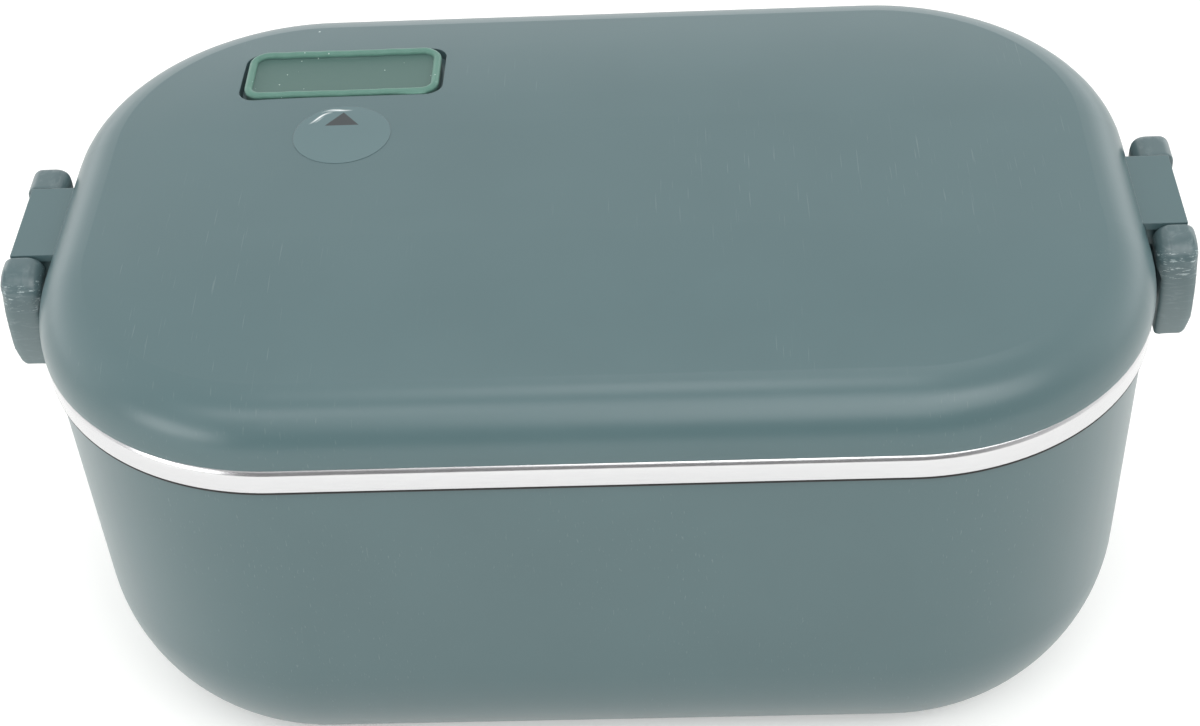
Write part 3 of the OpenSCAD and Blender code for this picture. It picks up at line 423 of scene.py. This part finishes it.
materials = {
    # satin and slightly cloudy, in the box's grey green
    "green_plastic": mouldedPlastic("satinPolypropylene", plastic),
    "base_plastic": mouldedPlastic("basePolypropylene", dict(plastic, dark="#475c5f", light="#4c6265")),
    "latch_plastic": latchPlastic("latchPolypropylene", grip),
    # milky off-white that stands the heat, and a pale grey inside the lid
    "tub_plastic": mouldedPlastic("heatPolypropylene", dict(plastic, dark="#cfcfc8", light="#d6d6cf",
                                                            dust="#bdbdb5")),
    "panel_plastic": mouldedPlastic("foodPolypropylene", dict(plastic, dark="#9aa5a5", light="#a2adad")),
    # near black: nylon with a satin skin, phenolic with a duller and browner one
    "black_plastic": mouldedPlastic("blackNylon", dict(plastic, dark="#202123", light="#26282a",
                                                       dust="#55585a")),
    "black_phenolic": mouldedPlastic("phenolicResin", dict(plastic, dark="#231f1e", light="#2a2624",
                                                           rough=0.5)),
    # a glossy amber lens over a cream lamp housing
    "lens_plastic": mouldedPlastic("amberAcrylic", dict(plastic, dark="#d9701f", light="#e07a26",
                                                        rough=0.15)),
    "lamp_plastic": mouldedPlastic("lampHousing", dict(plastic, dark="#ddd8c6", light="#e4dfce")),
    "clear_film": clearFilm("clearFilm", film),
    "fuse_ceramic": mouldedPlastic("fuseCeramic", dict(plastic, dark="#e0dbcb", light="#e8e4d6", rough=0.35)),
    # zinc plate is a dull mottled grey, rolled spring steel is darker, ground steel and brass are brighter
    "zinc_steel": metal("zincPlate", {"lines": (1, 1, 1), "pitch": 0.8, "rough": 0.33, "relief": 0.1,
                                      "dark": "#a9a9a6", "light": "#bcbcb8"}),
    "spring_steel": metal("springSteel", {"lines": (1, 8, 8), "pitch": 2, "rough": 0.35, "relief": 0.15,
                                          "dark": "#93928f", "light": "#a8a7a3"}),
    "pin_steel": metal("groundSteel", {"lines": (8, 1, 8), "pitch": 1, "rough": 0.2, "relief": 0.1,
                                       "dark": "#b3b3b0", "light": "#c4c4c0"}),
    "pin_brass": metal("platedBrass", {"lines": (8, 1, 8), "pitch": 1, "rough": 0.2, "relief": 0.1,
                                       "dark": "#c2a45c", "light": "#d0b46c"}),
    "liner_steel": pressedSteel("pressedStainless", bowl),
    # aluminium is paler: cast with a grainy face, extruded with lines along its length
    "cast_aluminium": metal("castAluminium", {"lines": (1, 10, 10), "pitch": 3, "rough": 0.38, "relief": 0.2,
                                              "dark": "#bdbdbd", "light": "#cccccc"}),
    "heater_aluminium": metal("extrudedAluminium", {"lines": (1, 12, 12), "pitch": 2, "rough": 0.35,
                                                    "relief": 0.2, "dark": "#b0b2b4", "light": "#bfc1c3"}),
    # rubber and silicone drink the light; the leads are red, the lid's ring and bush are white
    "foot_rubber": rubbery("blackRubber", {"mottle": 1.5, "rough": 0.75, "sheen": 0.1,
                                           "dark": "#1b1c1c", "light": "#242525"}),
    "lead_silicone": rubbery("leadSilicone", {"mottle": 2, "rough": 0.5, "sheen": 0.1,
                                              "dark": "#8e2a20", "light": "#9a3226"}),
    "seal_silicone": rubbery("sealSilicone", {"mottle": 3, "rough": 0.5, "sheen": 0.2,
                                              "dark": "#d5d7d4", "light": "#dfe1de"}),
    "valve_silicone": valveSilicone("greenSilicone", valve),
}
for part in frame["record"]["subparts"]:
    item = nodes[part["node"]]
    item.data.materials.clear()
    item.data.materials.append(materials[part["material_slot"]])


def arc(centre, radius, start, stop, steps):  # points of an arc; degrees run from outward towards up
    turns = [math.radians(start + (stop - start) * i / steps) for i in range(steps + 1)]
    return [(centre[0] + radius * math.cos(t), centre[1] + radius * math.sin(t)) for t in turns]


def sectionCurve(points, closed=False):  # a section in mm, outward and up, as the curve that a sweep takes
    data = bpy.data.curves.new("section", "CURVE")
    data.dimensions = "3D"
    line = data.splines.new("POLY")
    line.points.add(len(points) - 1)
    line.use_cyclic_u = closed
    for point, (out, up) in zip(line.points, points):
        point.co = (out * mm, -up * mm, 0, 1)
    return newObject("section", data)


def newTree(name, sockets):  # an empty geometry tree with its named inputs
    tree = bpy.data.node_groups.new(name, "GeometryNodeTree")
    for label, kind in sockets.items():
        tree.interface.new_socket(label, in_out="INPUT", socket_type="NodeSocket" + kind)
    tree.interface.new_socket("Geometry", in_out="OUTPUT", socket_type="NodeSocketGeometry")
    return tree, add(tree, "NodeGroupInput").outputs


def finishTree(tree, geometry, material):
    real = add(tree, "GeometryNodeRealizeInstances", links={0: geometry})
    painted = add(tree, "GeometryNodeSetMaterial", links={"Geometry": real.outputs[0], "Material": material})
    add(tree, "NodeGroupOutput", links={0: painted.outputs[0]})


def runTree(name, tree, values):  # the tree's result as a plain mesh object at the origin
    carrier = newObject("carrier", bpy.data.meshes.new("carrier"))
    modifier = carrier.modifiers.new("tree", "NODES")
    modifier.node_group = tree
    for item in tree.interface.items_tree:
        if item.in_out == "INPUT":
            modifier[item.identifier] = values[item.name]
    graph = bpy.context.evaluated_depsgraph_get()
    mesh = bpy.data.meshes.new_from_object(carrier.evaluated_get(graph), depsgraph=graph)
    bpy.data.objects.remove(carrier)
    mesh.name = name
    return newObject(name, mesh)


def sweepTree():
    # carries a section round a rounded oblong, as a rolled rim or a moulded bead runs
    tree, given = newTree("sweepRound", {"Length": "Float", "Width": "Float", "Corner radius": "Float",
                                         "Corner steps": "Int", "Section": "Object", "Material": "Material"})
    oblong = add(tree, "GeometryNodeCurvePrimitiveQuadrilateral", {"mode": "RECTANGLE"},
                 {"Width": given["Length"], "Height": given["Width"]})
    rounded = add(tree, "GeometryNodeFilletCurve", {"mode": "POLY"},
                  {"Curve": oblong.outputs[0], "Radius": given["Corner radius"],
                   "Count": given["Corner steps"]})
    upright = add(tree, "GeometryNodeSetCurveNormal", {"mode": "Z_UP"}, {"Curve": rounded.outputs[0]})
    section = add(tree, "GeometryNodeObjectInfo", links={"Object": given["Section"]})
    shell = add(tree, "GeometryNodeCurveToMesh",
                links={"Curve": upright.outputs[0], "Profile Curve": section.outputs["Geometry"]})
    smooth = add(tree, "GeometryNodeSetShadeSmooth", links={"Geometry": shell.outputs[0]})
    finishTree(tree, smooth.outputs[0], given["Material"])
    return tree


def sweep(name, length, width, radius, steps, points, material, place=(0, 0)):
    section = sectionCurve(points)
    piece = runTree(name, sweepRound, {"Length": length * mm, "Width": width * mm,
                                       "Corner radius": radius * mm, "Corner steps": steps,
                                       "Section": section, "Material": material})
    bpy.data.objects.remove(section)
    shape = bmesh.new()
    shape.from_mesh(piece.data)
    bmesh.ops.holes_fill(shape, edges=shape.edges, sides=0)
    bmesh.ops.translate(shape, verts=shape.verts, vec=(place[0] * mm, place[1] * mm, 0))
    for face in shape.faces:
        face.smooth = True
    shape.to_mesh(piece.data)
    shape.free()
    return piece


seamGap = 0.001  # points nearer than this, in mm, are one point


def closeSeam(piece):  # joins the points where a section ends on its own first point
    shape = bmesh.new()
    shape.from_mesh(piece.data)
    bmesh.ops.remove_doubles(shape, verts=shape.verts, dist=seamGap * mm)
    bmesh.ops.recalc_face_normals(shape, faces=shape.faces)
    shape.to_mesh(piece.data)
    shape.free()


def crease(piece, degrees):  # faces that meet at more than this angle keep a crisp edge
    piece.data.set_sharp_from_angle(angle=math.radians(degrees))


sweepRound = sweepTree()

# the liner: one pressed stainless bowl whose flange rolls over the tub's rim and turns down as a band
liner = {"corner": 54.8, "wall": 0.6, "bowlIn": 8.0, "floorRound": 12.0, "lip": 1.0, "band": 6.1,
         "roll": 1.9, "slope": 0.25, "slopeTilt": 60, "hem": 0.4, "neck": 0.4, "steps": 40, "crisp": 35}


def buildLiner(v):
    low, high = (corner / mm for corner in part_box("steel_liner"))
    top, floor, bandLow = high.z, low.z, high.z - v["band"]
    t, inner = v["wall"], -v["bowlIn"] - v["wall"]
    turn, roll = v["floorRound"], v["roll"]
    # the pressed shoulder: a roll, a steep flat, and a roll into the band
    tilt = math.radians(v["slopeTilt"])
    run, drop = v["slope"] * math.cos(tilt), v["slope"] * math.sin(tilt)
    upper = (-run - roll, top - roll)
    lower = (upper[0] + run, upper[1] - drop)
    points = arc((inner - turn + t, floor + turn), turn - t, -90, 0, 10)
    points += arc((inner + v["lip"], top - v["lip"]), v["lip"], 180, 90, 6)
    points += arc(upper, roll, 90, 90 - v["slopeTilt"], 8) + arc(lower, roll, 90 - v["slopeTilt"], 0, 5)
    points += arc((-v["hem"], bandLow + v["hem"]), v["hem"], 0, -90, 5)
    points += [(-t, bandLow)] + arc(lower, roll - t, 0, 90 - v["slopeTilt"], 4)
    points += arc(upper, roll - t, 90 - v["slopeTilt"], 90, 5)
    points += [(-v["bowlIn"] + v["neck"], top - t), (-v["bowlIn"], top - t - v["neck"])]
    points += arc((-v["bowlIn"] - turn, floor + turn), turn, 0, -90, 12)
    piece = sweep("steelLiner", 2 * high.x, 2 * high.y, v["corner"], v["steps"], points,
                  materials["liner_steel"])
    crease(piece, v["crisp"])
    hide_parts("steel_liner")
    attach(piece, "liner")


buildLiner(liner)
print("steel liner made")

# a painted shadow: a thin dark ring on the body's rim under the band's hem, standing for the shade in the
# slot there
bead = {"out": 0.12, "deep": 1.1, "high": 0.42, "under": 0.05, "round": 0.12}


def buildShadowRing(v):
    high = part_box("steel_liner")[1] / mm
    top = high.z - liner["band"] - v["under"]
    low, r = top - v["high"], v["round"]
    points = [(-v["deep"], top), (-v["out"] - r, top)] + arc((-v["out"] - r, top - r), r, 90, 0, 3)
    points += arc((-v["out"] - r, low + r), r, 0, -90, 3) + [(-v["deep"], low), (-v["deep"], top)]
    # the ring is dark rubber only so that a dark line shows under the band: a painted shadow
    piece = sweep("rimBead", 2 * high.x, 2 * high.y, liner["corner"], liner["steps"], points,
                  materials["foot_rubber"])
    closeSeam(piece)
    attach(piece, "root")


buildShadowRing(bead)
print("painted shadow ring made")


def lathe(shape, place, points, steps):  # turns a section of (radius, height) in mm about an upright axis
    rings = []
    for radius, height in points:
        turns = [2 * math.pi * i / steps for i in range(steps)]
        spots = [(place[0] + radius * math.cos(t), place[1] + radius * math.sin(t), height) for t in turns]
        rings.append([shape.verts.new(Vector(spot) * mm) for spot in spots])
    for below, above in zip(rings, rings[1:]):
        for i in range(steps):
            shape.faces.new((below[i], below[(i + 1) % steps], above[(i + 1) % steps], above[i]))
    shape.faces.new(list(reversed(rings[0])))
    shape.faces.new(rings[-1])


# the valve plug: one soft silicone moulding with a rolled rim, held by a barb at its left end; its length is
# sliced across, finely about a hinge line near the barb, and a small pull lip flares out of the rim over the
# lid at its right end
plug = {"corner": 4.4, "thick": 3.0, "bead": 0.95, "beadUp": 0.24, "beadIn": 0.1, "drop": 1.1, "steps": 14,
        "cove": [(0.9, 0.0), (0.35, 0.02), (0.12, 0.12)],  # the floor's rise into the rim: distance, height
        "footIn": 0.2, "footUp": 0.5, "footRound": 0.4, "footFlat": 3.0,
        "hinge": 8.0, "bend": 2.6, "cuts": 14, "farCuts": 13, "cutApart": 2.5, "crisp": 50,
        "wave": 0.16, "waveLength": 11.0, "waveMix": 3.1, "waveZone": 2.2, "still": 0.1,
        "lipAt": -39.0, "lipLength": 7.0, "lipEnd": 1.2, "lipOut": 1.15, "lipUp": 0.12,
        # the stopper and the barb, as radius and height from the pad's underside
        "vent": -44.5, "stopperSteps": 40,
        "stopper": [(0.1, -4.0), (2.5, -4.0), (2.8, -3.7), (3.0, -2.6), (3.4, -2.3),
                    (3.1, -2.0), (3.2, -1.1), (3.6, -0.8), (3.4, -0.3), (3.5, 0.4)],
        "barbIn": 4.0, "barbSteps": 32,
        "barb": [(0.1, -4.8), (0.9, -4.8), (1.2, -4.6), (2.5, -2.75), (2.5, -2.6), (1.6, -2.55), (1.6, 0.3)]}


def buildPlug(v):
    anchorLow, anchorHigh = (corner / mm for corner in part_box("valve_anchor"))
    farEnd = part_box("valve_plug")[1].x / mm
    middle = ((anchorLow.x + farEnd) / 2, (anchorLow.y + anchorHigh.y) / 2)
    length, width, top = farEnd - anchorLow.x, anchorHigh.y - anchorLow.y, anchorHigh.z
    bead, low = v["bead"], top - v["thick"]
    crest = top + v["beadUp"] - bead
    floor = top - v["drop"]
    points = [(-2 * bead - far, floor + up) for far, up in v["cove"]]
    points += arc((-bead - v["beadIn"], crest), bead, 180, 0, 10)
    foot = (-v["footIn"] - v["footRound"], low + v["footRound"])
    points += [(-v["footIn"], low + v["footUp"])] + arc(foot, v["footRound"], 0, -90, 3)
    points += [(-v["footFlat"], low)]
    piece = sweep("valvePlug", length, width, v["corner"], v["steps"], points, materials["valve_silicone"],
                  middle)
    shape = bmesh.new()
    shape.from_mesh(piece.data)
    hinge = anchorLow.x + v["hinge"]
    cuts = [hinge + v["bend"] * (2 * i / v["cuts"] - 1) for i in range(v["cuts"] + 1)]
    cuts += [hinge + v["bend"] + v["cutApart"] * i for i in range(1, v["farCuts"] + 1)]
    for cut in cuts:
        bmesh.ops.bisect_plane(shape, geom=shape.verts[:] + shape.edges[:] + shape.faces[:],
                               plane_co=(cut * mm, 0, 0), plane_no=(1, 0, 0))
    for vert in shape.verts:  # the soft rim wanders a little, and flares into the pull lip
        x, y, z = vert.co / mm
        if z < floor + v["still"]:
            continue
        sway = v["wave"] * math.sin(2 * math.pi * x / v["waveLength"]) * math.cos(x / v["waveMix"])
        y += sway if abs(y - middle[1]) > width / 2 - v["waveZone"] else 0
        reach = min(1 - (v["lipAt"] - x) / v["lipLength"], 1 - (x - v["lipAt"]) / v["lipEnd"])
        reach = max(0.0, reach)
        edge = max(0.0, min(1.0, (anchorLow.y + bead + v["beadIn"] - y) / bead))
        push = reach * reach * (3 - 2 * reach) * edge
        y -= v["lipOut"] * push
        z = max(z, z * (1 - push) + (top + v["lipUp"]) * push)
        vert.co = Vector((x, y, z)) * mm
    stopper = [(radius, low + up) for radius, up in v["stopper"]]
    lathe(shape, (v["vent"], middle[1]), stopper, v["stopperSteps"])
    barb = [(radius, low + up) for radius, up in v["barb"]]
    lathe(shape, (anchorLow.x + v["barbIn"], middle[1]), barb, v["barbSteps"])
    for face in shape.faces:
        face.smooth = True
    shape.to_mesh(piece.data)
    shape.free()
    crease(piece, v["crisp"])
    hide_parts("valve_anchor", "valve_plug")
    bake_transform(piece)


buildPlug(plug)
print("valve plug made")

# the round label: a thin clear film that has lifted and creased along its upper left edge
label = {"radius": 10.9, "rings": 60, "spokes": 240, "flat": 19.9, "crown": 424.0, "seat": 0.015,
         "thick": 0.05, "room": 0.01, "crisp": 60, "creaseBow": 0.3, "creaseBends": 7, "liftReflectionFullAt": 0.07,
         # each crease: radius, start and stop in degrees, rise, spread
         "creases": [(9.5, 80, 116, 0.08, 0.24), (8.9, 108, 152, 0.09, 0.26), (9.9, 92, 124, 0.06, 0.18),
                     (8.3, 122, 146, 0.05, 0.16)]}


def buildLabel(v):
    low, high = (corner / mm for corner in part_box("label_film"))
    cx, cy, lidTop, n = (low.x + high.x) / 2, (low.y + high.y) / 2, low.z, v["spokes"]
    shape = bmesh.new()

    def liftAt(r, degrees):  # how far the creases raise the film there, in mm
        total = 0.0
        for at, start, stop, rise, spread in v["creases"]:
            ends = max(0.0, 1 - abs(degrees - (start + stop) / 2) / ((stop - start) / 2)) ** 0.5
            bow = at + v["creaseBow"] * math.sin(math.radians(degrees * v["creaseBends"]))
            total += rise * ends * math.exp(-((r - bow) / spread) ** 2)
        return total

    def heightAt(r, degrees):  # the lid's crown under the film, with the creases on it
        y = cy + r * math.sin(math.radians(degrees))
        over = max(0.0, abs(y) - v["flat"])
        crown = lidTop - (v["crown"] - math.sqrt(v["crown"] ** 2 - over ** 2)) + v["seat"]
        return min(crown + liftAt(r, degrees), high.z - v["thick"] - v["room"])

    for lift in (0, v["thick"]):
        rings = []
        for i in range(1, v["rings"] + 1):
            r = v["radius"] * i / v["rings"]
            spots = []
            for j in range(n):
                t = 360 * j / n
                x, y = cx + r * math.cos(math.radians(t)), cy + r * math.sin(math.radians(t))
                spots.append(shape.verts.new(Vector((x, y, heightAt(r, t) + lift)) * mm))
            rings.append(spots)
        centre = shape.verts.new(Vector((cx, cy, heightAt(0, 0) + lift)) * mm)
        for j in range(n):
            shape.faces.new((centre, rings[0][j], rings[0][(j + 1) % n]))
        for inner, outer in zip(rings, rings[1:]):
            for j in range(n):
                shape.faces.new((inner[j], outer[j], outer[(j + 1) % n], inner[(j + 1) % n]))
        if lift == 0:
            under = rings[-1]
    for j in range(n):
        shape.faces.new((under[j], under[(j + 1) % n], rings[-1][(j + 1) % n], rings[-1][j]))
    bmesh.ops.recalc_face_normals(shape, faces=shape.faces)
    for face in shape.faces:
        face.smooth = True
    mesh = bpy.data.meshes.new("labelFilm")
    shape.to_mesh(mesh)
    shape.free()
    # how far each point is lifted, which sets how white the painted reflection is there
    lifted = mesh.attributes.new("lifted", "FLOAT", "POINT")
    for vert, value in zip(mesh.vertices, lifted.data):
        x, y = vert.co.x / mm - cx, vert.co.y / mm - cy
        degrees = math.degrees(math.atan2(y, x))
        value.value = min(1.0, liftAt(math.hypot(x, y), degrees) / v["liftReflectionFullAt"]) ** 2
    piece = newObject("labelFilm", mesh)
    mesh.materials.append(materials["clear_film"])
    crease(piece, v["crisp"])
    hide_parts("label_film")
    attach(piece, "lid")


buildLabel(label)
print("label made")

# the latches: moulded arms with soft worn edges, whose upper corners roll down towards each end and whose
# outer face bows; "bowTurn" is how far round a sine the bow runs from its top to the arm's lower end
latch = {"voxel": 0.28, "soften": 0.5, "passes": 10, "keep": 0.3, "frontRound": 6.0, "backRound": 1.6,
         "weld": 0.002, "bow": 1.35, "bowTop": 98.0, "bowTurn": 150}


def buildLatch(name, node, body, v):
    low, high = (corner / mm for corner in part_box(node))
    mesh = nodes[node].data.copy()
    shape = bmesh.new()
    shape.from_mesh(mesh)
    bmesh.ops.remove_doubles(shape, verts=shape.verts, dist=v["weld"] * mm)
    shape.to_mesh(mesh)
    shape.free()
    rough = newObject("roughLatch", mesh)
    skin = rough.modifiers.new("skin", "REMESH")
    skin.mode, skin.voxel_size = "VOXEL", v["voxel"] * mm
    soften = rough.modifiers.new("soften", "SMOOTH")
    soften.factor, soften.iterations = v["soften"], v["passes"]
    thin = rough.modifiers.new("thin", "DECIMATE")
    thin.ratio = v["keep"]
    graph = bpy.context.evaluated_depsgraph_get()
    made = bpy.data.meshes.new_from_object(rough.evaluated_get(graph), depsgraph=graph)
    bpy.data.objects.remove(rough)
    made.name = name
    height = high.z - low.z
    inner, outer = sorted((abs(low.x), abs(high.x)))
    for vert in made.vertices:
        x, y, z = vert.co / mm
        radius = v["frontRound"] if y < 0 else v["backRound"]
        short = max(0.0, radius - (high.y - abs(y)))  # how far past the start of the rounding
        fall = radius - math.sqrt(max(0.0, radius ** 2 - min(short, radius) ** 2))
        z = low.z + (z - low.z) * (1 - fall / height)
        down = min(1.0, max(0.0, (v["bowTop"] - z) / (v["bowTop"] - low.z)))
        out = (abs(x) - inner) / (outer - inner)  # the outer face bows, and the face beside the box stays
        bowed = abs(x) + v["bow"] * out * math.sin(math.radians(v["bowTurn"]) * down)
        x = math.copysign(min(outer, bowed), x)
        vert.co = Vector((x, y, z)) * mm
    made.materials.clear()
    made.materials.append(materials["latch_plastic"])
    for face in made.polygons:
        face.use_smooth = True
    piece = newObject(name, made)
    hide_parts(node)
    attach(piece, body)
    print(name, "made,", len(made.polygons), "faces")


buildLatch("leftLatchArm", "left_latch", "latch_left", latch)
buildLatch("rightLatchArm", "right_latch", "latch_right", latch)

# the feet: one turned foot, set down at the base's four corners by the tree
feet = {"radius": 6.5, "steps": 40, "chamfer": (0.5, 0.48), "sole": (1.2, 0.72), "ringGap": 1.8,
        "ringWidth": 0.8, "ringDeep": 0.25, "ringSlope": 0.2, "eye": 0.3, "crisp": 30}


def footTree():
    tree, given = newTree("feetOnCorners", {"Apart along": "Float", "Apart across": "Float",
                                            "Radius": "Float", "Section": "Object", "Steps": "Int",
                                            "Material": "Material"})
    circle = add(tree, "GeometryNodeCurvePrimitiveCircle", {"mode": "RADIUS"},
                 {"Resolution": given["Steps"], "Radius": given["Radius"]})
    upright = add(tree, "GeometryNodeSetCurveNormal", {"mode": "Z_UP"}, {"Curve": circle.outputs[0]})
    section = add(tree, "GeometryNodeObjectInfo", links={"Object": given["Section"]})
    foot = add(tree, "GeometryNodeCurveToMesh",
               links={"Curve": upright.outputs[0], "Profile Curve": section.outputs["Geometry"]})
    smooth = add(tree, "GeometryNodeSetShadeSmooth", links={"Geometry": foot.outputs[0]})
    grid = add(tree, "GeometryNodeMeshGrid", {"Vertices X": 2, "Vertices Y": 2},
               {"Size X": given["Apart along"], "Size Y": given["Apart across"]})
    placed = add(tree, "GeometryNodeInstanceOnPoints", links={"Points": grid.outputs["Mesh"],
                                                              "Instance": smooth.outputs[0]})
    finishTree(tree, placed.outputs[0], given["Material"])
    return tree


def buildFeet(v):
    low, high = (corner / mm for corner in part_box("rubber_feet"))
    radius, sole = v["radius"], low.z
    shoulder = sole + v["sole"][1] + v["chamfer"][1]
    points = [(v["eye"] - radius, high.z), (0, high.z), (0, shoulder),
              (-v["chamfer"][0], sole + v["sole"][1]), (-v["sole"][0], sole)]
    edge = -v["sole"][0] - v["ringWidth"]
    while edge > v["ringGap"] - radius:  # grooves pressed into the sole, so that it grips
        bottom, far = sole + v["ringDeep"], edge - v["ringWidth"]
        points += [(edge, sole), (edge - v["ringSlope"], bottom), (far, bottom), (far - v["ringSlope"], sole)]
        edge -= v["ringGap"]
    points += [(v["eye"] - radius, sole)]
    section = sectionCurve(points)
    piece = runTree("rubberFeet", footTree(),
                    {"Apart along": 2 * (high.x - radius) * mm, "Apart across": 2 * (high.y - radius) * mm,
                     "Radius": radius * mm, "Section": section, "Steps": v["steps"],
                     "Material": materials["foot_rubber"]})
    bpy.data.objects.remove(section)
    shape = bmesh.new()
    shape.from_mesh(piece.data)
    bmesh.ops.holes_fill(shape, edges=shape.edges, sides=0)
    bmesh.ops.recalc_face_normals(shape, faces=shape.faces)
    shape.to_mesh(piece.data)
    shape.free()
    crease(piece, v["crisp"])
    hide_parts("rubber_feet")
    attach(piece, "root")


buildFeet(feet)
print("rubber feet made")
